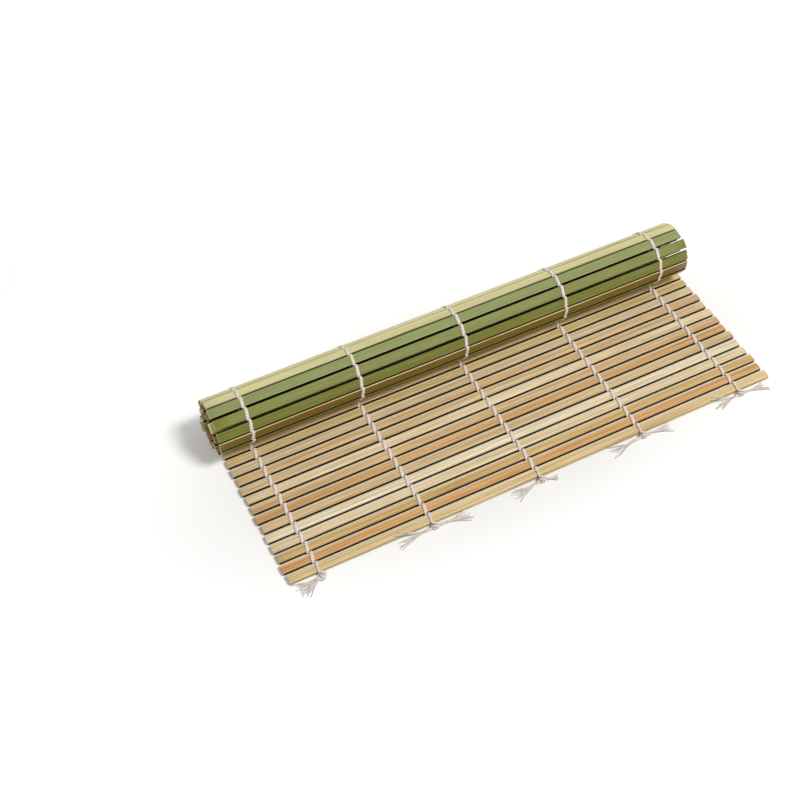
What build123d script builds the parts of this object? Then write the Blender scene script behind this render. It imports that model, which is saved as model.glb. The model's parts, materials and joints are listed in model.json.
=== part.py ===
"""A sushi rolling mat of flat bamboo slats, lashed side by side and rolled up part of the way."""

import os
from math import asin, cos, degrees, hypot, radians, sin, tan

from build123d import *

os.makedirs("parts", exist_ok=True)

# The mat: how many slats, how many of them lie flat, and how the rest are rolled
slat_count = 44
flat_count = 15
core_radius = 5.8
turn_clearance = 0.45
turn_creep = 1.45
creep_starts_at = 286.0
roll_slip = 1.6
slip_settles_at = 90.0

# One slat: split bamboo, square on its green skin side and rounded off on its pale side
slat_length = 240.0
slat_width = 4.5
slat_thickness = 1.7
slat_gap = 0.9
bevel_width = 0.55
bevel_height = 0.75
end_scatter = 0.35
scatter_step = 2.4

# The lashing: rows of two cotton cords twined round the slats, one over and one under
row_count = 5
first_row = 13.4
last_row = 17.0
stitch_width = 1.2
stitch_height = 0.5
stitch_lean = 0.62
stitch_clearance = 0.03
cord_crossing = 0.2
under_shoulder = 0.35

# The knot that closes each row at the front edge, and its two frayed tails
knot_width = 2.8
knot_radius = 1.2
knot_wrap_length = 1.9
knot_wrap_radius = 1.05
knot_wrap_angle = 62.0
knot_sides = 8
knot_clearance = 0.1
tail_radius = 0.6
tail_sides = 6
tail_drop = 0.35
fray_length = 4.6
fray_radius = 0.26
fray_sides = 4
fray_spread = 16.0
fray_count = 3

# The bight that each pair of cords makes round the last slat, where the lashing starts
bight_reach = 0.5
bight_height = 0.9

# Each tail's length, as a share of the longest one, and its heading in degrees from +X
tail_length = 13.0
tail_length_shares = ((0.6, 0.55), (1.0, 0.95), (0.8, 0.25), (1.0, 0.7), (0.75, 0.75))
tail_headings = ((182, 211), (184, -4), (187, -12), (186, -3), (186, -4))

# What follows from the sizes above
pitch = slat_width + slat_gap
half_thickness = slat_thickness / 2
half_gap = slat_gap / 2
slat_middle = stitch_height + half_thickness
turn_spacing = slat_thickness + 2 * stitch_height + turn_clearance
row_spacing = (slat_length - first_row - last_row) / (row_count - 1)
row_places = [first_row - slat_length / 2 + row_spacing * row for row in range(row_count)]


def bends_from_the_core():
    """How far each rolled slat turns from the one before it, the innermost slat first."""
    turned = 0.0
    bends = []
    for _ in range(slat_count - flat_count):
        radius = core_radius + turn_spacing * turned / 360
        bends.append(2 * degrees(asin(pitch / 2 / radius)))
        turned += bends[-1]
    return bends


def walk_along_the_mat(slat_bends):
    """Where each slat's front hinge line lies, as forward and up, and which way it heads."""
    forward, up, heading = 0.0, slat_middle, 0.0
    walked = []
    for bend in slat_bends:
        heading += bend
        walked.append((forward, up, heading))
        forward += pitch * cos(radians(heading))
        up += pitch * sin(radians(heading))
    return walked


rolled_bends = bends_from_the_core()
tightest_bend = rolled_bends[0]
slat_bends = [0.0] * flat_count + rolled_bends[::-1]
slat_places = walk_along_the_mat(slat_bends)


def creep(heading):
    """How far the roll's inner turns have slid out to the left of its outer turn."""
    return turn_creep * max(0.0, heading - creep_starts_at) / 360


def slip(heading):
    """How far the rolled slats have slid to the left in their lashing."""
    return roll_slip * min(1.0, heading / slip_settles_at)


# The outlines below are drawn across the slat, from its front hinge line to its back one,
# with the pale side up and the middle of the bamboo at zero
side_top = half_thickness - bevel_height
slat_outline = [
    (half_gap, -half_thickness),
    (pitch - half_gap, -half_thickness),
    (pitch - half_gap, side_top),
    (pitch - half_gap - bevel_width, half_thickness),
    (half_gap + bevel_width, half_thickness),
    (half_gap, side_top),
]

# A stitch keeps to its own side of the fold line even where the roll is tightest
fold_slope = tan(radians(tightest_bend / 2))
over_tip = side_top * fold_slope + stitch_clearance
over_crown = half_thickness + stitch_height
over_shoulder = over_crown * fold_slope + stitch_clearance
over_outline = [
    (over_tip, side_top),
    (half_gap, side_top),
    (half_gap + bevel_width, half_thickness),
    (pitch - half_gap - bevel_width, half_thickness),
    (pitch - half_gap, side_top),
    (pitch - over_tip, side_top),
    (pitch - over_shoulder, over_crown),
    (over_shoulder, over_crown),
]

under_top = side_top - cord_crossing
under_outline = [
    (over_tip, under_top),
    (under_shoulder, -over_crown),
    (pitch - under_shoulder, -over_crown),
    (pitch - over_tip, under_top),
    (pitch - half_gap, under_top),
    (pitch - half_gap, -half_thickness),
    (half_gap, -half_thickness),
    (half_gap, under_top),
]

# The bight hooks in between the two ends of the lashing behind the last slat
bight_middle = (side_top + under_top) / 2
bight_outline = [
    (pitch - half_gap, under_top),
    (pitch - over_tip, under_top),
    (pitch, bight_middle - bight_height / 2),
    (pitch + bight_reach, bight_middle - bight_height / 3),
    (pitch + bight_reach, bight_middle + bight_height / 3),
    (pitch, bight_middle + bight_height / 2),
    (pitch - over_tip, side_top),
    (pitch - half_gap, side_top),
]


def section_plane(number, along):
    """The plane across a slat, facing +X, at a place along it."""
    forward, up, heading = slat_places[number - 1]
    across = (0, cos(radians(heading)), sin(radians(heading)))
    return Plane(origin=(along, forward, up), x_dir=across, z_dir=(1, 0, 0))


def stitch_planes(number, lean):
    """The left face of each stitch on a slat. It leans, so it is not square to the slat."""
    forward, up, heading = slat_places[number - 1]
    across = Vector(0, cos(radians(heading)), sin(radians(heading)))
    pale_way = Vector(0, -sin(radians(heading)), cos(radians(heading)))
    stitch_way = across * pitch + Vector(2 * lean, 0, 0)
    facing = stitch_way.cross(pale_way)
    planes = []
    for row_place in row_places:
        left = row_place - creep(heading) - lean - stitch_width / 2
        planes.append(Plane(origin=(left, forward, up), x_dir=stitch_way, z_dir=facing))
    return planes


def stretched(outline):
    """An outline as it is seen on a stitch's leaning face."""
    stretch = hypot(pitch, 2 * stitch_lean) / pitch
    return [(across * stretch, high) for across, high in outline]


def make_slat(number):
    """The bare bamboo slat."""
    scatter = end_scatter * sin(scatter_step * number)
    heading = slat_places[number - 1][2]
    left_end = scatter - creep(heading) - slip(heading) - slat_length / 2
    with BuildPart() as slat:
        with BuildSketch(section_plane(number, left_end)):
            with BuildLine():
                Polyline(*slat_outline, close=True)
            make_face()
        extrude(amount=slat_length)
    return slat.part


def make_stitches(number):
    """The stitches on one slat: in each row one cord goes over it and the other under it."""
    with BuildPart() as stitches:
        for outline, lean in ((over_outline, stitch_lean), (under_outline, -stitch_lean)):
            with BuildSketch(*stitch_planes(number, lean)):
                with BuildLine():
                    Polyline(*stretched(outline), close=True)
                make_face()
            extrude(amount=stitch_width, dir=(1, 0, 0))
    return stitches.part


def make_bight(row_place):
    """The cord's turn round the back edge of the last slat, from over to under."""
    heading = slat_places[-1][2]
    half_span = stitch_lean + stitch_width / 2
    left = row_place - creep(heading) - half_span
    with BuildPart() as bight:
        with BuildSketch(section_plane(slat_count, left)):
            with BuildLine():
                Polyline(*bight_outline, close=True)
            make_face()
        extrude(amount=2 * half_span)
    return bight.part


def tail_plane(start, heading, drop):
    """A plane square to a tail that heads out level and sinks a little."""
    way = Vector(cos(radians(heading)), sin(radians(heading)), -drop)
    level = Vector(-sin(radians(heading)), cos(radians(heading)), 0)
    return Plane(origin=start, x_dir=level, z_dir=way)


def make_knot(row_place, length_shares, headings):
    """The knot: two wraps of cord across each other, and two tails with frayed ends."""
    middle = Vector(row_place, -knot_radius - knot_clearance, slat_middle)
    with BuildPart() as knot:
        body_start = middle - Vector(knot_width / 2, 0, 0)
        with BuildSketch(Plane(origin=body_start, x_dir=(0, 1, 0), z_dir=(1, 0, 0))):
            RegularPolygon(knot_radius, knot_sides)
        extrude(amount=knot_width)
        wrap_way = Vector(cos(radians(knot_wrap_angle)), 0, sin(radians(knot_wrap_angle)))
        wrap_start = middle - wrap_way * (knot_wrap_length / 2)
        with BuildSketch(Plane(origin=wrap_start, x_dir=(0, 1, 0), z_dir=wrap_way)):
            RegularPolygon(knot_wrap_radius, knot_sides)
        extrude(amount=knot_wrap_length)
        for share, heading in zip(length_shares, headings):
            length = tail_length * share
            drop = tail_drop / length
            start = tail_plane(middle, heading, drop)
            with BuildSketch(start):
                RegularPolygon(tail_radius, tail_sides)
            extrude(amount=length)
            fray_start = start.origin + start.z_dir * (length - tail_radius)
            for strand in range(fray_count):
                turn = fray_spread * (strand - (fray_count - 1) / 2)
                with BuildSketch(tail_plane(fray_start, heading + turn, drop)):
                    RegularPolygon(fray_radius, fray_sides)
                extrude(amount=fray_length)
    return knot.part


pieces = {}
for number in range(1, slat_count + 1):
    solids = [*make_slat(number).solids(), *make_stitches(number).solids()]
    pieces[f"slat_{number:02d}"] = Compound(solids)
for row, row_place in enumerate(row_places):
    pieces[f"knot_{row + 1}"] = make_knot(row_place, tail_length_shares[row], tail_headings[row])
    pieces[f"bight_{row + 1}"] = make_bight(row_place)

# The mat stands on the level that its lowest stitches touch, about the middle of its footprint
reach = Compound(list(pieces.values())).bounding_box()
to_middle = Location((-reach.center().X, -reach.center().Y, 0))
for name, piece in pieces.items():
    piece = piece.moved(to_middle)
    piece.label = name
    export_step(piece, f"parts/{name}.step")

print("tightest bend between two slats", round(tightest_bend, 1), "degrees")
print("footprint", reach.size, "middle at", reach.center())
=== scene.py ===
"""A sushi rolling mat of split bamboo, lashed with twined cotton and rolled up part of the way."""

import json
import math
import random

import bpy
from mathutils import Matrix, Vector, noise

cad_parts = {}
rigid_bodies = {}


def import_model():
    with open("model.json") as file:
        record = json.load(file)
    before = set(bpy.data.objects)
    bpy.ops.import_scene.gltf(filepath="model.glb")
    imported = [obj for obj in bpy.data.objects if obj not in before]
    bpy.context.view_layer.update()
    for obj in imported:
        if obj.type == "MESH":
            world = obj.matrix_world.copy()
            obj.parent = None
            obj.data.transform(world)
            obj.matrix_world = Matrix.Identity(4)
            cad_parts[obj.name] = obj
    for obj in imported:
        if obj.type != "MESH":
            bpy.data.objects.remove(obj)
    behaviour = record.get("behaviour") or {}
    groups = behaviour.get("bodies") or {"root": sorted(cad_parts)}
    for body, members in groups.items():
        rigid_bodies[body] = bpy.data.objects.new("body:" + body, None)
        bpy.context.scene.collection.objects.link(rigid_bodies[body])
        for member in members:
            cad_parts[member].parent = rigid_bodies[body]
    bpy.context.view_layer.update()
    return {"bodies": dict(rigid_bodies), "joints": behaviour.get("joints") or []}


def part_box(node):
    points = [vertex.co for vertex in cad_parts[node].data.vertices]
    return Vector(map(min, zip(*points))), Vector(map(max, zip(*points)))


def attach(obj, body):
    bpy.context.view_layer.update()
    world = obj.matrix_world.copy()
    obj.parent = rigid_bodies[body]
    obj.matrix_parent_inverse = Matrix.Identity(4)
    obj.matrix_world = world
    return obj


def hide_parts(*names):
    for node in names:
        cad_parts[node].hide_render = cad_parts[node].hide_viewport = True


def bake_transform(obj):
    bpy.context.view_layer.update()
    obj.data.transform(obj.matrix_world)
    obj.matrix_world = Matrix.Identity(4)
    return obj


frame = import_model()


# The folds. The mat bends only in the gaps between its slats, where the cotton lashing gives. Each
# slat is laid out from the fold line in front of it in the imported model, and the way it heads.
slat_count = len(frame["bodies"])
folds = {}
bend_limits = {}
for joint in frame["joints"]:
    slat_behind = max(int(joint["parent"][-2:]), int(joint["child"][-2:]))
    folds[slat_behind] = Vector(joint["pos_m"])
    bend_limits[slat_behind] = math.radians(joint["range_deg"][1])
pitch = (folds[3] - folds[2]).length
folds[1] = folds[2] - Vector((0, pitch, 0))
headings = {1: 0.0}
for number in range(2, slat_count):
    step = folds[number + 1] - folds[number]
    turned = math.atan2(step.z, step.y) - headings[number - 1]
    headings[number] = headings[number - 1] + math.remainder(turned, 2 * math.pi)
headings[slat_count] = headings[slat_count - 1] + bend_limits[slat_count]


def slat_ways(number):
    """The ways across a slat, from front to back, and up through it towards its pale side."""
    turn = headings[number]
    across = Vector((0, math.cos(turn), math.sin(turn)))
    pale_side = Vector((0, -math.sin(turn), math.cos(turn)))
    return across, pale_side


def on_slat(number, along, across, high):
    """A point by a slat's own measures: from its front fold, and from half its thickness."""
    across_way, pale_way = slat_ways(number)
    return folds[number] + Vector((along, 0, 0)) + across_way * across + pale_way * high


# The slats. Split bamboo, planed to one thickness and sawn square at both ends. The outside keeps
# the stem's green skin, flat and hard-edged, and the pale inside is rounded off along both edges.
# A painted highlight runs along the back edge, and painted shade down the sides into the gaps.
# Nothing but the cotton cords holds a slat in its place.
mm = 0.001
slat_length = 240 * mm
rings_along = 34
end_ease_length = 0.12 * mm
sharp_from = math.radians(38)

# A slat's outline, across it from its middle and up from half its thickness, in mm
half_width = 2.25
half_thickness = 0.85
end_ease = 0.06
skin_outline = [(-2.2, -0.85), (-1.1, -0.853), (0, -0.855), (1.1, -0.853), (2.2, -0.85)]
flesh_outline = [
    (2.25, -0.78), (2.25, -0.55), (2.25, -0.3), (2.25, 0.12), (2.2, 0.34), (2.08, 0.54),
    (1.9, 0.7), (1.68, 0.8), (1.36, 0.86), (0.7, 0.895), (0, 0.905), (-0.7, 0.895), (-1.36, 0.86),
    (-1.68, 0.8), (-1.9, 0.7), (-2.08, 0.54), (-2.2, 0.34), (-2.25, 0.12), (-2.25, -0.3),
    (-2.25, -0.55), (-2.25, -0.78),
]
outline = skin_outline + flesh_outline
skin_faces = len(skin_outline) - 1
flesh_face, skin_face, end_face = 0, 1, 2

# How far a slat wanders from a straight line, in mm, and how much its width swells, as a share.
# Each goes by noise with this many lumps to a metre, read at a place of its own
wander_width = 0.11
wander_lumps, wander_step, wander_place = 14, 3.7, 1.5
swell_share = 0.016
swell_lumps, swell_step, swell_place = 22, 5.1, 8.5


def linear(red, green, blue):
    """A colour as a paint chart writes it, 0 to 255, for Blender's nodes and attributes."""
    shades = []
    for shade in (red, green, blue):
        value = shade / 255
        shades.append(value / 12.92 if value < 0.04045 else ((value + 0.055) / 1.055) ** 2.4)
    return (*shades, 1.0)


# The pale side's tints. The front slats have them in this order, and the others have any
straw = linear(226, 200, 149)
honey = linear(217, 168, 110)
tan = linear(212, 179, 120)
chaff = linear(233, 211, 171)
cream = linear(239, 223, 189)
wheat = linear(216, 187, 142)
peach = linear(212, 169, 115)
apricot = linear(216, 181, 135)
biscuit = linear(215, 193, 155)
oat = linear(207, 181, 127)
flesh_order = [
    straw, honey, tan, chaff, cream, wheat, peach, apricot, chaff, wheat, apricot, biscuit, oat,
    straw,
]

# The skin's tints: by slat over the front of the roll, and any of the rest elsewhere. Over the
# roll they carry painted light on top of real differences: a painted sheen of the lamp on the top
# slats' lime and part of one on the blue green, and painted shade on the lowest slat's olive
lime_with_sheen = linear(226, 221, 160)
blue_green_with_sheen = linear(145, 157, 97)
leaf = linear(121, 127, 42)
moss = linear(120, 123, 45)
olive_in_shade = linear(125, 100, 15)
roll_skins_with_painted_light = {20: lime_with_sheen, 21: lime_with_sheen, 22: lime_with_sheen, 23: blue_green_with_sheen, 24: leaf, 25: moss, 26: olive_in_shade}
other_skins = [leaf, moss, blue_green_with_sheen, lime_with_sheen, leaf, moss]
tint_seed_step, first_tint_seed = 17, 3

# Where the painted shade of the gap starts down a side, up from half the thickness, and over what
# height it grows, in mm. It starts higher at the front, which paints the front bevel darker
darkens_at_back = (0.46, 0.45)
darkens_at_front = (0.66, 0.6)
# How far up from the skin a side stays clear of the painted gap shade: on most slats, and on the
# roll's front slats, whose sides are painted as lit where the roll opens the gaps
pale_under_skin = 1.2
pale_under_skin_at_back = {20: 0.62, 21: 0.62, 22: 0.5, 23: 0.8}
pale_under_skin_at_front = {26: 0.55}
pale_fades_over = 0.6
# The most that the painted gap shade darkens the mat's own front and back edges, which have no
# neighbour beside them
exposed_edge = 0.3
# Where the painted highlight along the back edge starts and over what way it grows, back from the
# middle and up, in mm
highlight_across = (0.9, 0.8)
highlight_up = (0.3, 0.35)

# How far the grain's pattern moves on from slat to slat, and from the left end to the right, in m
grain_steps = (0.37, 0.013)
right_end_grain = 0.02

stations = [0.0, end_ease_length]
stations += [slat_length * ring / rings_along for ring in range(1, rings_along)]
stations += [slat_length - end_ease_length, slat_length]
girth = [0.0]
for place in range(1, len(outline) + 1):
    girth.append(girth[-1] + math.dist(outline[place % len(outline)], outline[place - 1]) * mm)


def slat_faces():
    """A slat's faces, what kind each one is, and where its corners lie in the grain."""
    count = len(outline)
    faces, kinds, grain = [], [], []
    for ring in range(len(stations) - 1):
        start, end = stations[ring], stations[ring + 1]
        for place in range(count):
            after = (place + 1) % count
            faces.append((ring * count + place, (ring + 1) * count + place,
                          (ring + 1) * count + after, ring * count + after))
            kinds.append(skin_face if place < skin_faces else flesh_face)
            grain.append([(start, girth[place]), (end, girth[place]),
                          (end, girth[place + 1]), (start, girth[place + 1])])
    last = (len(stations) - 1) * count
    faces.append(tuple(range(count)))
    faces.append(tuple(last + place for place in reversed(range(count))))
    kinds += [end_face, end_face]
    grain.append([(across * mm, high * mm) for across, high in outline])
    grain.append([(across * mm + right_end_grain, high * mm)
                  for across, high in reversed(outline)])
    return faces, kinds, grain


def slat_tints(number):
    """What a slat's pale inside and its skin are coloured: as listed, and else by chance."""
    chance = random.Random(number * tint_seed_step + first_tint_seed)
    if number <= len(flesh_order):
        flesh = flesh_order[number - 1]
    else:
        flesh = chance.choice(flesh_order)
    skin = roll_skins_with_painted_light.get(number) or chance.choice(other_skins)
    return flesh, skin


def growth(value, start, over):
    """0 up to the start, and from there it grows evenly to 1."""
    return min(1.0, max(0.0, (value - start) / over))


def edge_shades(number, across, high):
    """How much painted gap shade a point of a slat's outline takes, and how much painted
    highlight.
    """
    behind = across > 0
    darkens_from, darkens_over = darkens_at_back if behind else darkens_at_front
    pale_edges = pale_under_skin_at_back if behind else pale_under_skin_at_front
    from_top = max(0.0, (darkens_from - high) / darkens_over)
    from_skin = (pale_edges.get(number, pale_under_skin) + high) / pale_fades_over
    depth = min(1.0, from_top, from_skin)
    if number == (slat_count if behind else 1):
        depth = min(depth, exposed_edge)
    return depth, growth(across, *highlight_across) * growth(high, *highlight_up)


def slat_left_end(number):
    """Where a slat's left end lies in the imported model."""
    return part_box(f"slat_{number:02d}")[0].x


def make_slat(number, faces, kinds, grain):
    """The bamboo of one slat, with its grain laid along it and its tints on its faces."""
    left = slat_left_end(number)
    corners, depths, back_highlights = [], [], []
    for station in stations:
        ease = end_ease if station in (0.0, slat_length) else 0.0
        wander = wander_width * noise.noise(
            Vector((station * wander_lumps, number * wander_step, wander_place)))
        swell = 1 + swell_share * noise.noise(
            Vector((station * swell_lumps, number * swell_step, swell_place)))
        for across, high in outline:
            across_mm = across * swell * (1 - ease / half_width) + wander
            high_mm = high * (1 - ease / half_thickness)
            corners.append(on_slat(number, left + station, pitch / 2 + across_mm * mm,
                                   high_mm * mm))
            depth, back_highlight = edge_shades(number, across, high)
            depths.append(depth)
            back_highlights.append(back_highlight)

    mesh = bpy.data.meshes.new(f"bamboo_{number:02d}")
    mesh.from_pydata(corners, [], faces)
    flesh, skin = slat_tints(number)
    shift_u, shift_v = (number * grain_step for grain_step in grain_steps)
    spots, tints = [], []
    for kind, around in zip(kinds, grain):
        for u, v in around:
            spots += [u, v] if kind == end_face else [u + shift_u, v + shift_v]
            tints += skin if kind == skin_face else flesh
    mesh.polygons.foreach_set("material_index", kinds)
    mesh.uv_layers.new(name="grain").uv.foreach_set("vector", spots)
    mesh.color_attributes.new("tint", "FLOAT_COLOR", "CORNER").data.foreach_set("color", tints)
    for name, values in (("painted_gap_shade", depths), ("back_highlight", back_highlights)):
        mesh.attributes.new(name, "FLOAT", "POINT").data.foreach_set("value", values)
    mesh.shade_smooth()
    mesh.set_sharp_from_angle(angle=sharp_from)
    slat = bpy.data.objects.new(f"bamboo_{number:02d}", mesh)
    bpy.context.scene.collection.objects.link(slat)
    return slat


def new_material(name):
    """A material with its nodes cleared down to a Principled shader and an output."""
    material = bpy.data.materials.new(name)
    material.use_nodes = True
    return material, material.node_tree, material.node_tree.nodes["Principled BSDF"]


def new_group(name, inputs, outputs):
    """A shader node group with named inputs, their defaults, and named outputs."""
    group = bpy.data.node_groups.new(name, "ShaderNodeTree")
    for label, kind, default in inputs:
        socket = group.interface.new_socket(name=label, in_out="INPUT", socket_type=kind)
        if default is not None:
            socket.default_value = default
    for label, kind in outputs:
        group.interface.new_socket(name=label, in_out="OUTPUT", socket_type=kind)
    return group, group.nodes.new("NodeGroupInput"), group.nodes.new("NodeGroupOutput")


def feed(tree, value, socket):
    """Links an input to another node's output, or sets it to a number or a colour."""
    if isinstance(value, bpy.types.NodeSocket):
        tree.links.new(value, socket)
    else:
        socket.default_value = value


def math_node(tree, operation, *values):
    """A Math node on one or two outputs or numbers."""
    node = tree.nodes.new("ShaderNodeMath")
    node.operation = operation
    for slot, value in enumerate(values):
        feed(tree, value, node.inputs[slot])
    return node.outputs[0]


def surface_spot(tree, layer):
    """Where a point lies on its surface, by one of the mesh's own layers."""
    where = tree.nodes.new("ShaderNodeUVMap")
    where.uv_map = layer
    return where.outputs["UV"]


def slat_tint(tree):
    """The tint that a slat's mesh carries."""
    tint = tree.nodes.new("ShaderNodeVertexColor")
    tint.layer_name = "tint"
    return tint.outputs["Color"]


def mesh_value(tree, name):
    """A number that the mesh carries at its points."""
    value = tree.nodes.new("ShaderNodeAttribute")
    value.attribute_name = name
    return value.outputs["Fac"]


def stretched_noise(tree, where, scale, detail, rough, turn=0.0):
    """Noise drawn out one way: scale is how many lumps to a unit, along and across."""
    mapping = tree.nodes.new("ShaderNodeMapping")
    mapping.inputs["Scale"].default_value = (*scale, 1)
    mapping.inputs["Rotation"].default_value = (0, 0, turn)
    tree.links.new(where, mapping.inputs["Vector"])
    texture = tree.nodes.new("ShaderNodeTexNoise")
    texture.noise_dimensions = "2D"
    texture.inputs["Scale"].default_value = 1.0
    texture.inputs["Detail"].default_value = detail
    texture.inputs["Roughness"].default_value = rough
    tree.links.new(mapping.outputs["Vector"], texture.inputs["Vector"])
    return texture.outputs["Fac"]


# The grain's noise: how many lumps to a metre, along and across the slat
streak_scale = (14, 1500)
fibre_scale = (70, 7500)
noise_middle = 0.5
# The powers of red, green and blue by which a darker fibre is a warmer one
warmth = (1.0, 1.25, 1.7)
streak_ridges = 0.6


def make_fibre_group():
    """Bamboo's grain: broad streaks, fine dark and light fibres, and the ridges that they make."""
    group, given, put_out = new_group(
        "bamboo fibre",
        [("Colour", "NodeSocketColor", None), ("Streaks", "NodeSocketFloat", 0.2),
         ("Fibres", "NodeSocketFloat", 0.2)],
        [("Colour", "NodeSocketColor"), ("Ridges", "NodeSocketFloat")])
    where = surface_spot(group, "grain")
    streaks = stretched_noise(group, where, streak_scale, detail=3.0, rough=0.6)
    fibres = stretched_noise(group, where, fibre_scale, detail=3.0, rough=0.65)
    layers = []
    for pattern, amount in ((streaks, "Streaks"), (fibres, "Fibres")):
        swing = math_node(group, "SUBTRACT", pattern, noise_middle)
        layers.append(math_node(group, "MULTIPLY", swing, given.outputs[amount]))
    light = math_node(group, "ADD", math_node(group, "ADD", *layers), 1.0)
    shade = group.nodes.new("ShaderNodeCombineXYZ")
    for axis, power in enumerate(warmth):
        group.links.new(math_node(group, "POWER", light, power), shade.inputs[axis])
    tinted = group.nodes.new("ShaderNodeVectorMath")
    tinted.operation = "MULTIPLY"
    group.links.new(given.outputs["Colour"], tinted.inputs[0])
    group.links.new(shade.outputs[0], tinted.inputs[1])
    group.links.new(tinted.outputs[0], put_out.inputs["Colour"])
    ridges = math_node(group, "ADD", fibres, math_node(group, "MULTIPLY", streaks, streak_ridges))
    group.links.new(ridges, put_out.inputs["Ridges"])
    return group


fibre_group = make_fibre_group()


def add_grain(tree, colour, **amounts):
    """The grain laid over a colour: the grained colour and the height of its ridges."""
    grain = tree.nodes.new("ShaderNodeGroup")
    grain.node_tree = fibre_group
    for label, amount in amounts.items():
        grain.inputs[label].default_value = amount
    tree.links.new(colour, grain.inputs["Colour"])
    return grain.outputs["Colour"], grain.outputs["Ridges"]


def mix_colours(tree, share, first, second):
    """A plain mix of two colours by a share. The node's sockets for colours go by number."""
    node = tree.nodes.new("ShaderNodeMix")
    node.data_type = "RGBA"
    feed(tree, share, node.inputs["Factor"])
    feed(tree, first, node.inputs[6])
    feed(tree, second, node.inputs[7])
    return node.outputs[2]


def bump(tree, height, distance):
    """The surface's normal, raised by a height."""
    node = tree.nodes.new("ShaderNodeBump")
    node.inputs["Distance"].default_value = distance
    tree.links.new(height, node.inputs["Height"])
    return node.outputs["Normal"]


def ranged(tree, value, low, high):
    """0 at the low value, 1 at the high one, and even in between."""
    node = tree.nodes.new("ShaderNodeMapRange")
    tree.links.new(value, node.inputs["Value"])
    node.inputs["From Min"].default_value = low
    node.inputs["From Max"].default_value = high
    return node.outputs["Result"]


def ramp(tree, value, black_at, white_at):
    """Black at one value and white at the other, as a mask."""
    node = tree.nodes.new("ShaderNodeValToRGB")
    first, second = node.color_ramp.elements
    first.position, second.position = sorted((black_at, white_at))
    if white_at < black_at:
        first.color, second.color = (1, 1, 1, 1), (0, 0, 0, 1)
    tree.links.new(value, node.inputs["Fac"])
    return node.outputs["Color"]


# A painted highlight along each slat's back edge, and how strongly it shows
back_highlight_colour = linear(255, 236, 196)
back_highlight_share = 0.75
# The sides' olive: partly the bamboo's own colour, partly painted shade that darkens the front
# bevel
side_olive_and_shade = linear(182, 158, 98)
bevel_depths = (0.0, 0.25)
bevel_share = 0.5
# The painted shade deep in the gaps between the slats, and the depths over which it comes in
gap_shade_colour = linear(17, 11, 4)
gap_shade_depths = (0.3, 0.55)


def make_flesh_material():
    """Planed pale bamboo: fine streaks, a painted highlight at the back edge, an olive front bevel
    that is partly painted shade, and painted shade down the sides.
    """
    material, tree, shader = new_material("pale bamboo")
    grained, ridges = add_grain(tree, slat_tint(tree), Streaks=1.15, Fibres=0.95)
    depth = mesh_value(tree, "painted_gap_shade")
    back_highlight = math_node(tree, "MULTIPLY", mesh_value(tree, "back_highlight"), back_highlight_share)
    edged = mix_colours(tree, back_highlight, grained, back_highlight_colour)
    bevel = math_node(tree, "MULTIPLY", ranged(tree, depth, *bevel_depths), bevel_share)
    bevelled = mix_colours(tree, bevel, edged, side_olive_and_shade)
    side = ranged(tree, depth, *gap_shade_depths)
    colour = mix_colours(tree, side, bevelled, gap_shade_colour)
    tree.links.new(colour, shader.inputs["Base Color"])
    tree.links.new(bump(tree, ridges, distance=0.06 * mm), shader.inputs["Normal"])
    shader.inputs["Roughness"].default_value = 0.58
    shader.inputs["Specular IOR Level"].default_value = 0.15
    return material


bloom_colour = linear(172, 196, 156)
bloom_scale = (40, 800)
bloom_patches = (0.5, 0.78)
bloom_share = 0.22


def make_skin_material():
    """The stem's green skin: hard, with a waxy shine, fine lines and paler bloom in patches."""
    material, tree, shader = new_material("green bamboo skin")
    grained, ridges = add_grain(tree, slat_tint(tree), Streaks=0.6, Fibres=0.45)
    bloom = stretched_noise(tree, surface_spot(tree, "grain"), bloom_scale, detail=4.0,
                            rough=0.7)
    share = math_node(tree, "MULTIPLY", ramp(tree, bloom, *bloom_patches), bloom_share)
    colour = mix_colours(tree, share, grained, bloom_colour)
    tree.links.new(colour, shader.inputs["Base Color"])
    tree.links.new(bump(tree, ridges, distance=0.03 * mm), shader.inputs["Normal"])
    shader.inputs["Roughness"].default_value = 0.38
    shader.inputs["Specular IOR Level"].default_value = 0.28
    return material


bundle_colour = linear(150, 112, 66)
bundles_to_a_metre = 3400
bundle_edge = (0.3, 0.12)
bundle_share = 0.4


def make_end_material():
    """Sawn end grain: the pale tint, with the dark dots of the fibre bundles."""
    material, tree, shader = new_material("bamboo end grain")
    bundles = tree.nodes.new("ShaderNodeTexVoronoi")
    bundles.voronoi_dimensions = "2D"
    bundles.inputs["Scale"].default_value = bundles_to_a_metre
    tree.links.new(surface_spot(tree, "grain"), bundles.inputs["Vector"])
    from_bundle = bundles.outputs["Distance"]
    share = math_node(tree, "MULTIPLY", ramp(tree, from_bundle, *bundle_edge), bundle_share)
    colour = mix_colours(tree, share, slat_tint(tree), bundle_colour)
    tree.links.new(colour, shader.inputs["Base Color"])
    tree.links.new(bump(tree, from_bundle, distance=0.05 * mm), shader.inputs["Normal"])
    shader.inputs["Roughness"].default_value = 0.75
    return material


# In the order of flesh_face, skin_face and end_face
slat_materials = (make_flesh_material(), make_skin_material(), make_end_material())
faces, kinds, grain = slat_faces()
for number in range(1, slat_count + 1):
    slat = make_slat(number, faces, kinds, grain)
    for material in slat_materials:
        slat.data.materials.append(material)
    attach(slat, f"slat_{number:02d}")
    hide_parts(f"slat_{number:02d}")


# The lashing. Five rows, each of two cotton cords that are twined about the slats: one over and
# one under, changing sides in every gap. Each length here reaches from the middle of one slat to
# the middle of the next, through the gap between them as the mat lies.
row_count = 5
first_row = 13.4 * mm
row_spacing = 52.4 * mm
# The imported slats' ends lie unevenly, by this much times the sine of this step for each slat
end_scatter = 0.35 * mm
scatter_step = 2.4
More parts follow.
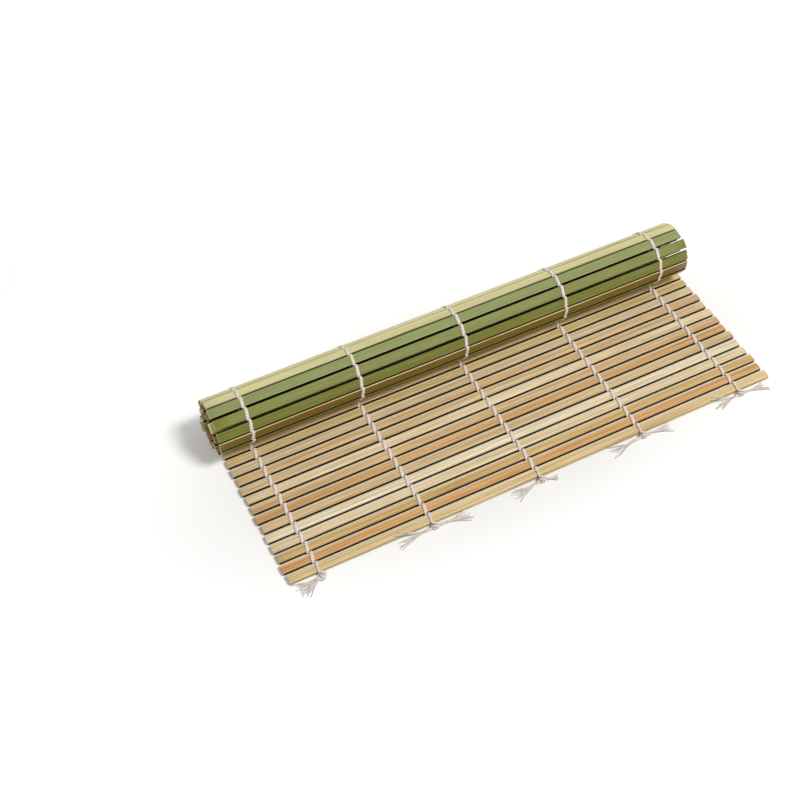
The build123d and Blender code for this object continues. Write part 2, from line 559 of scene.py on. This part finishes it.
# The roll's inner turns have slid to the left, by this much for each turn past this heading
turn_creep = 1.45 * mm
creep_starts_at = math.radians(286)

cord_half_width = 0.83 * mm
squeezed_half_width = 0.62 * mm
squeeze_power = 6
cord_half_height = 0.38 * mm
lays_per_span = 6
ring_spacing = 0.5 * mm
points_round = 10
steps_between_rings = 4

# The stitches slant less where the roll pulls them straight
lean_when_rolled = 0.6
lean_settles_at = math.radians(90)
gap_offset = 0.62 * mm
# Along the slat, across it from its front fold, and up, in mm, from the middle of a slat on
# its pale side down through the gap behind it
half_stitch_over = [(0, 2.7, 1.1), (0.21, 3.6, 1.09), (0.42, 4.4, 1.0), (0.55, 4.95, 0.74),
                    (0.61, 5.24, 0.36)]
half_stitch_under = [(0, 2.7, -0.96), (-0.21, 3.6, -0.97), (-0.45, 4.45, -0.96),
                     (-0.58, 4.95, -0.8), (-0.62, 5.25, -0.5)]
half_way_down = -0.08


def row_place(number, row):
    """Where a row crosses a slat."""
    front_end = slat_left_end(1) - end_scatter * math.sin(scatter_step)
    creep = turn_creep * max(0.0, headings[number] - creep_starts_at) / (2 * math.pi)
    return front_end - creep + first_row + row_spacing * row


def smooth_line(points, spacing):
    """Points at even steps along a smooth curve through the given ones, and its length."""
    line = []
    count = len(points)
    for place in range(count - 1):
        p0 = points[max(place - 1, 0)]
        p1, p2 = points[place], points[place + 1]
        p3 = points[min(place + 2, count - 1)]
        steps = max(1, round((p2 - p1).length / spacing * steps_between_rings))
        for step in range(steps):
            t = step / steps
            line.append(0.5 * (2 * p1 + (p2 - p0) * t + (2 * p0 - 5 * p1 + 4 * p2 - p3) * t * t
                               + (3 * p1 - p0 - 3 * p2 + p3) * t ** 3))
    line.append(points[-1])
    lengths = [0.0]
    for before, now in zip(line, line[1:]):
        lengths.append(lengths[-1] + (now - before).length)
    total = lengths[-1]
    rings = max(2, round(total / spacing))
    even = []
    place = 0
    for ring in range(rings + 1):
        goal = total * ring / rings
        while place < len(lengths) - 2 and lengths[place + 1] < goal:
            place += 1
        span = lengths[place + 1] - lengths[place]
        share = (goal - lengths[place]) / span if span else 0.0
        even.append(line[place].lerp(line[place + 1], min(1.0, max(0.0, share))))
    return even, total


def new_parts():
    """An empty cord for sweep to add to."""
    return {"corners": [], "faces": [], "spots": []}


def sweep(parts, line, half_wide, half_high, lays, around, side=Vector((1, 0, 0)), tips=(0, 0)):
    """Adds a cord along a line. Its wide way lies by the side, and tips narrow and close its ends.

    Half its width and half its height are lengths, or functions of the share of its length.
    """
    start = len(parts["corners"])
    rings = len(line)
    narrowed = {0: tips[0], rings - 1: tips[1]}
    for ring, middle in enumerate(line):
        before, after = line[max(ring - 1, 0)], line[min(ring + 1, rings - 1)]
        way = (after - before).normalized()
        wide = (side - way * side.dot(way)).normalized()
        high = way.cross(wide)
        share = ring / (rings - 1)
        narrow = narrowed.get(ring) or 1.0
        half_w = half_wide(share) if callable(half_wide) else half_wide
        half_h = half_high(share) if callable(half_high) else half_high
        for place in range(around):
            turn = 2 * math.pi * place / around
            parts["corners"].append(middle + wide * (half_w * narrow * math.cos(turn))
                                    + high * (half_h * narrow * math.sin(turn)))
    for ring in range(rings - 1):
        u0, u1 = lays * ring / (rings - 1), lays * (ring + 1) / (rings - 1)
        low = start + ring * around
        for place in range(around):
            after = (place + 1) % around
            parts["faces"].append((low + place, low + after, low + around + after,
                                   low + around + place))
            v0, v1 = place / around, (place + 1) / around
            parts["spots"].append([(u0, v0), (u0, v1), (u1, v1), (u1, v0)])
    for end, ring in ((0, 0), (1, rings - 1)):
        if tips[end]:
            loop = [start + ring * around + place for place in range(around)]
            parts["faces"].append(tuple(loop if end else reversed(loop)))
            parts["spots"].append([(lays * end, 0.0)] * around)


def finish_cord(name, parts, material):
    """Makes the mesh of what sweep has gathered."""
    mesh = bpy.data.meshes.new(name)
    mesh.from_pydata(parts["corners"], [], parts["faces"])
    layer = mesh.uv_layers.new(name="lay")
    for face in mesh.polygons:
        for corner, spot in zip(face.loop_indices, parts["spots"][face.index]):
            layer.data[corner].uv = spot
    mesh.shade_smooth()
    mesh.materials.append(material)
    piece = bpy.data.objects.new(name, mesh)
    bpy.context.scene.collection.objects.link(piece)
    return piece


def lean(number):
    """How much the stitches slant on a slat: fully on the flat ones."""
    rolled = min(1.0, headings[number] / lean_settles_at)
    return 1 + (lean_when_rolled - 1) * rolled


def cord_span(number, row, over):
    """A cord's line from the middle of a slat to the middle of the next, through the gap."""
    here, there = row_place(number, row), row_place(number + 1, row)
    lean_here, lean_there = lean(number), lean(number + 1)
    leaving, arriving = half_stitch_over, half_stitch_under
    if not over:
        leaving, arriving = arriving, leaving
    points = [on_slat(number, here + along * lean_here * mm, across * mm, high * mm)
              for along, across, high in leaving]
    gap_lean = gap_offset * (lean_here + lean_there) / 2
    gap_along = (here + there) / 2 + (gap_lean if over else -gap_lean)
    points.append(on_slat(number + 1, gap_along, 0, half_way_down * mm))
    for along, across, high in reversed(arriving):
        points.append(on_slat(number + 1, there - along * lean_there * mm, pitch - across * mm,
                              high * mm))
    return points


def squeezed(share):
    """Half the width of a cord along its length: full on the slats, squeezed in the gap."""
    pinch = math.sin(math.pi * share) ** squeeze_power
    return cord_half_width + (squeezed_half_width - cord_half_width) * pinch


plies_per_cord = 3.0
# The plies' pale middles, and painted shade between the plies where they meet
ply_middle = linear(255, 249, 242)
shade_between_plies = linear(196, 162, 142)
ply_roundness = 0.6
# The spun fibres: lumps to a lay and to a girth, and how far they are turned out of line
spun_scale = (2.2, 26)
spun_turn = 0.5
spun_height = 0.35
# Painted shadow along both sides of the cord where it lies on the slat, where it starts and how
# strong
cord_side_shadow = linear(150, 112, 90)
side_shadow_starts = 0.6
side_shadow_share = 0.6


def make_twine_material():
    """Soft spun cotton: three plies laid up together, dull, with painted shade where they meet and
    painted shadow along the cord's sides.
    """
    material, tree, shader = new_material("cotton twine")
    where = surface_spot(tree, "lay")
    split = tree.nodes.new("ShaderNodeSeparateXYZ")
    tree.links.new(where, split.inputs[0])
    along, around = split.outputs["X"], split.outputs["Y"]
    plies = math_node(tree, "ADD", math_node(tree, "MULTIPLY", around, plies_per_cord), along)
    ply_turn = math_node(tree, "MULTIPLY", plies, math.pi)
    wave = math_node(tree, "ABSOLUTE", math_node(tree, "SINE", ply_turn))
    spun = stretched_noise(tree, where, spun_scale, detail=3.0, rough=0.5, turn=spun_turn)
    height = math_node(tree, "ADD", wave, math_node(tree, "MULTIPLY", spun, spun_height))
    shade = math_node(tree, "POWER", wave, ply_roundness)
    laid = mix_colours(tree, shade, shade_between_plies, ply_middle)
    cord_turn = math_node(tree, "MULTIPLY", around, 2 * math.pi)
    outward = math_node(tree, "ABSOLUTE", math_node(tree, "SINE", cord_turn))
    side_shadows = math_node(tree, "MULTIPLY", ranged(tree, outward, side_shadow_starts, 0.0), side_shadow_share)
    colour = mix_colours(tree, side_shadows, laid, cord_side_shadow)
    tree.links.new(colour, shader.inputs["Base Color"])
    tree.links.new(bump(tree, height, distance=0.12 * mm), shader.inputs["Normal"])
    shader.inputs["Roughness"].default_value = 0.88
    shader.inputs["Specular IOR Level"].default_value = 0.2
    shader.inputs["Sheen Weight"].default_value = 0.3
    shader.inputs["Sheen Roughness"].default_value = 0.5
    return material


twine_material = make_twine_material()
for number in range(1, slat_count):
    parts = new_parts()
    for row in range(row_count):
        for over in (True, False):
            line, _ = smooth_line(cord_span(number, row, over), ring_spacing)
            sweep(parts, line, squeezed, cord_half_height, lays_per_span, points_round)
    lashing = finish_cord(f"lashing_{number:02d}_{number + 1:02d}", parts, twine_material)
    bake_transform(lashing)


# The knots. At the front edge each pair of cotton cords is tied off, and the two ends are cut
# about a finger's width long. The twine has come unlaid there and splays into its yarns.
knot_spacing = 0.3 * mm
knot_cord_half_width = 0.56 * mm
knot_cord_half_height = 0.5 * mm
knot_cord_tips = (0.9, 0.75)
lay_length = 1.23 * mm
knot_middle_out = 1.3
first_knot_seed = 40

# Along the slat, out from its front fold, and up from half its thickness, in mm
over_to_edge = [(0, -2.7, 1.1), (-0.21, -1.8, 1.09), (-0.42, -1.0, 1.02), (-0.5, -0.35, 0.92)]
under_to_edge = [(0, -2.7, -0.84), (0.21, -1.8, -0.84), (0.45, -1.0, -0.84),
                 (0.5, -0.3, -0.76)]
# A loose overhand loop, as the first row has
over_round_loop = [(-0.35, 0.35, 0.95), (0.45, 0.45, 1.0), (1.35, 0.85, 0.8), (1.65, 1.7, 0.45),
                   (1.15, 2.45, 0.2), (0.3, 2.6, 0.1), (-0.45, 2.1, 0.0)]
under_round_loop = [(0.35, 0.4, -0.7), (-0.45, 1.0, -0.45), (-0.7, 1.6, 0.3), (-0.25, 2.3, 0.85),
                    (0.45, 2.9, 0.6), (0.35, 3.3, -0.1)]
# A half hitch drawn up tight, as the other rows have
over_round_hitch = [(-0.3, 0.35, 1.0), (0.5, 0.75, 1.05), (1.35, 1.15, 0.75), (1.55, 1.9, 0.05),
                    (0.8, 2.35, -0.45), (-0.2, 2.2, -0.3), (-1.1, 1.75, 0.05)]
under_round_hitch = [(0.25, 0.4, -0.72), (-0.75, 0.7, -0.5), (-1.3, 1.05, 0.2),
                     (-0.85, 1.6, 0.85), (0.1, 2.2, 0.95), (1.0, 2.3, 0.5), (1.6, 1.8, 0.35)]

# The ends of each row's over and under cord: their length and how much of it is still laid, as
# shares, and the way they head, in degrees from the right
end_length = 13.0
end_length_shares = ((0.6, 0.55), (1.0, 0.95), (0.8, 0.25), (1.0, 0.7), (0.75, 0.75))
laid_shares = ((0.25, 0.3), (0.45, 0.5), (0.35, 0.9), (0.5, 0.5), (0.45, 0.45))
end_headings = ((185, 206), (184, -4), (187, -12), (186, -3), (186, -4))
least_laid = 2.6 * mm
# The laid part leaves the knot this far from its middle, swung out to the front, and then sinks
leaves_knot_at = 1.5 * mm
swings_out = 0.5 * mm
starts_above = 0.15 * mm
sinks_by = 0.35 * mm
laid_places = (0.55, 1.0)

# The yarns of an end: how they start in a ring inside the cord, fan out, and thin
yarns_per_end = 7
yarns_start_at_ring = -3
yarn_half_width = 0.23 * mm
yarn_root_share = 1.2
yarn_thins_by = 0.35
yarn_tips = (0.8, 0.4)
yarn_steps = 6
yarn_spacing = 0.6 * mm
yarn_lay_length = 0.8 * mm
yarn_points_round = 6
yarn_ring = 0.3 * mm
fray_beyond = 4.6
fray_spread = math.radians(17)
fan_chance = 0.2
fan_power = 1.4
reach_chances = (0.82, 1.12)
curl_chance = 0.16
# Most yarns sink to this height from half the slat's thickness, in mm, by this power of the way
resting_height = 0.45
resting_power = 0.7
resting_chances = (-0.1, 0.15)
# On these rows the left end's hindmost yarns climb back over the first slat's edge
ends_over_the_slat = {1, 4}
climbs_behind_fan = -0.3
climbs_back = 1.7 * mm
climbs_up = 1.25 * mm
climbs_faster = 1.9


def by_slat_one(row, along, out, high):
    """A point by a row's knot: along the first slat, out from its front, and up, in mm."""
    return on_slat(1, row_place(1, row) + along * mm, -out * mm, high * mm)


def thinning_yarn(share):
    """Half the width of a yarn along its length."""
    return yarn_half_width * (yarn_root_share - yarn_thins_by * share)


def add_yarns(parts, chance, start, way, reach, climbs_here):
    """The yarns that an unlaid end splays into. Some of them may climb the first slat's edge."""
    side = Vector((-way.y, way.x, 0))
    for yarn in range(yarns_per_end):
        ring_turn = 2 * math.pi * yarn / yarns_per_end
        fan = (yarn + 0.5) / yarns_per_end * 2 - 1 + chance.uniform(-fan_chance, fan_chance)
        yarn_reach = reach * chance.uniform(*reach_chances)
        points = []
        for step in range(yarn_steps + 1):
            share = step / yarn_steps
            curl = chance.uniform(-curl_chance, curl_chance) * mm * share
            spread = math.tan(fray_spread) * fan * yarn_reach * share ** fan_power
            point = start + way * (yarn_reach * share) + side * (spread + curl)
            point += side * (yarn_ring * math.cos(ring_turn) * (1 - share))
            point.z += yarn_ring * math.sin(ring_turn) * (1 - share)
            if climbs_here and fan < climbs_behind_fan:
                point.y += climbs_back * share
                point.z += climbs_up * min(1.0, share * climbs_faster)
            else:
                point.z += (resting_height * mm - start.z) * share ** resting_power
                point.z += chance.uniform(*resting_chances) * mm * share
            point.z = max(point.z, yarn_half_width * yarn_root_share)
            points.append(point)
        line, length = smooth_line(points, yarn_spacing)
        sweep(parts, line, thinning_yarn, thinning_yarn, round(length / yarn_lay_length),
              yarn_points_round, side=side, tips=yarn_tips)


def make_knot(row):
    """One knot and its two ends, the over cord's to the left and the under cord's after it."""
    parts = new_parts()
    chance = random.Random(first_knot_seed + row)
    middle = by_slat_one(row, 0, knot_middle_out, 0)
    if row == 0:
        rounds = (over_round_loop, under_round_loop)
    else:
        rounds = (over_round_hitch, under_round_hitch)
    for place, (to_edge, round_knot) in enumerate(zip((over_to_edge, under_to_edge), rounds)):
        points = [by_slat_one(row, *spot) for spot in to_edge + round_knot]
        turn = math.radians(end_headings[row][place])
        way = Vector((math.cos(turn), math.sin(turn), 0))
        length = end_length * end_length_shares[row][place] * mm
        laid = max(length * laid_shares[row][place], least_laid)
        for part in laid_places:
            point = middle + way * (leaves_knot_at + (laid - leaves_knot_at) * part)
            point.y -= swings_out * (1 - part)
            point.z = middle.z + starts_above - sinks_by * part
            points.append(point)
        line, total = smooth_line(points, knot_spacing)
        sweep(parts, line, knot_cord_half_width, knot_cord_half_height,
              round(total / lay_length), points_round, tips=knot_cord_tips)
        add_yarns(parts, chance, line[yarns_start_at_ring], way,
                  length - laid + fray_beyond * mm, place == 0 and row in ends_over_the_slat)
    return finish_cord(f"tied_{row + 1}", parts, twine_material)


for row in range(row_count):
    knot = make_knot(row)
    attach(knot, "slat_01")
    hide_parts(f"knot_{row + 1}")


# The starts of the cords. Each pair is one length of cotton doubled round the last slat, in the
# middle of the roll, so its two halves join in a bight at that slat's back edge.
bight_half_width = 0.5 * mm
bight_points = [(0, 2.7, 1.1), (0.21, 3.6, 1.09), (0.42, 4.4, 1.0), (0.55, 4.98, 0.74),
                (0.5, 5.42, 0.4), (0.2, 5.62, 0.12), (-0.2, 5.62, -0.08), (-0.5, 5.42, -0.4),
                (-0.58, 4.95, -0.84), (-0.45, 4.45, -0.98), (-0.21, 3.6, -0.97), (0, 2.7, -0.96)]

for row in range(row_count):
    parts = new_parts()
    here = row_place(slat_count, row)
    points = [on_slat(slat_count, here + along * mm, across * mm, high * mm)
              for along, across, high in bight_points]
    line, _ = smooth_line(points, knot_spacing)
    sweep(parts, line, bight_half_width, cord_half_height, lays_per_span, points_round)
    bight = finish_cord(f"turned_{row + 1}", parts, twine_material)
    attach(bight, f"slat_{slat_count:02d}")
    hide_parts(f"bight_{row + 1}")


# The table. A plain white surface that the mat lies loose on. It glows a little for the camera
# alone, so that it is white, and glows less under and beside the mat: painted shade that keeps the
# gaps between the slats dark and darkens the table round the mat.
table_size = 6
table_drop = 0.02 * mm
# The glow under the mat, kept low as painted shade, and what is added beside it and far off, over
# these distances in m
glow_under_mat = 0.05
glow_beside, beside_distances = 0.18, (0.1, 0.17)
glow_far_off, far_distances = 0.77, (0.25, 1.2)
# The mat is wider along X than along Y, so distances beside it count for more along Y
along_y = 2.2


def seen_directly(tree):
    """1 where the camera sees the background, straight or in a shine, and 0 for its light."""
    path = tree.nodes.new("ShaderNodeLightPath")
    shiny = math_node(tree, "MAXIMUM", path.outputs["Is Glossy Ray"],
                      path.outputs["Is Transmission Ray"])
    return math_node(tree, "MAXIMUM", path.outputs["Is Camera Ray"], shiny)


def how_far(tree, along_y=1.0):
    """The distance of a point of the table from the middle of the mat."""
    table_spot = tree.nodes.new("ShaderNodeTexCoord")
    squeezed_spot = tree.nodes.new("ShaderNodeMapping")
    squeezed_spot.inputs["Scale"].default_value = (1.0, along_y, 1.0)
    tree.links.new(table_spot.outputs["Object"], squeezed_spot.inputs["Vector"])
    distance = tree.nodes.new("ShaderNodeVectorMath")
    distance.operation = "LENGTH"
    tree.links.new(squeezed_spot.outputs["Vector"], distance.inputs[0])
    return distance.outputs["Value"]


def make_table_material():
    """Matt white, lit up a little where it is seen directly, and less round the mat as painted
    shade.
    """
    material, tree, shader = new_material("white table")
    beside = math_node(tree, "MULTIPLY", ranged(tree, how_far(tree, along_y), *beside_distances),
                       glow_beside)
    far_off = math_node(tree, "MULTIPLY", ranged(tree, how_far(tree), *far_distances),
                        glow_far_off)
    glow = math_node(tree, "ADD", glow_under_mat, math_node(tree, "ADD", beside, far_off))
    tree.links.new(math_node(tree, "MULTIPLY", seen_directly(tree), glow),
                   shader.inputs["Emission Strength"])
    shader.inputs["Emission Color"].default_value = (1, 1, 1, 1)
    shader.inputs["Base Color"].default_value = (0.96, 0.96, 0.96, 1)
    shader.inputs["Roughness"].default_value = 0.9
    shader.inputs["Specular IOR Level"].default_value = 0.1
    return material


bpy.ops.mesh.primitive_plane_add(size=table_size, location=(0, 0, -table_drop))
table = bpy.context.object
table.name = "table"
table.data.materials.append(make_table_material())


# The light. One soft window, high up in front of the mat and to its right, and a dim pale room
# all round. Where the camera sees the room, it sees plain white.
room_colour = (1.0, 0.99, 0.97, 1)
room_strength = 0.31
window_place = Vector((1.1, -1.0, 2.55))
window_size = 0.8
window_watts = 58
window_colour = (1.0, 0.985, 0.965)

world = bpy.data.worlds.new("pale room")
bpy.context.scene.world = world
world.use_nodes = True
tree = world.node_tree
room = tree.nodes["Background"]
room.inputs["Color"].default_value = room_colour
room.inputs["Strength"].default_value = room_strength
white = tree.nodes.new("ShaderNodeBackground")
white.inputs["Color"].default_value = (1, 1, 1, 1)
choice = tree.nodes.new("ShaderNodeMixShader")
tree.links.new(seen_directly(tree), choice.inputs[0])
tree.links.new(room.outputs[0], choice.inputs[1])
tree.links.new(white.outputs[0], choice.inputs[2])
tree.links.new(choice.outputs[0], tree.nodes["World Output"].inputs["Surface"])

lamp = bpy.data.lights.new("window", "AREA")
lamp.shape = "SQUARE"
lamp.size = window_size
lamp.energy = window_watts
lamp.color = window_colour
window = bpy.data.objects.new("window", lamp)
window.location = window_place
window.rotation_euler = (-window_place).to_track_quat("-Z", "Y").to_euler()
bpy.context.scene.collection.objects.link(window)


# The camera. It stands at the mat's front left and looks down on it, fitted to the corners of the
# flat slats.
camera_data = bpy.data.cameras.new("camera")
camera_data.lens = 58.5
camera_data.sensor_width = 36
camera = bpy.data.objects.new("camera", camera_data)
camera.location = (-0.20017, -0.30375, 0.46212)
camera.rotation_euler = (math.radians(38.50), math.radians(0.107), math.radians(-27.03))
bpy.context.scene.collection.objects.link(camera)
bpy.context.scene.camera = camera
bpy.context.scene.view_settings.view_transform = "Standard"
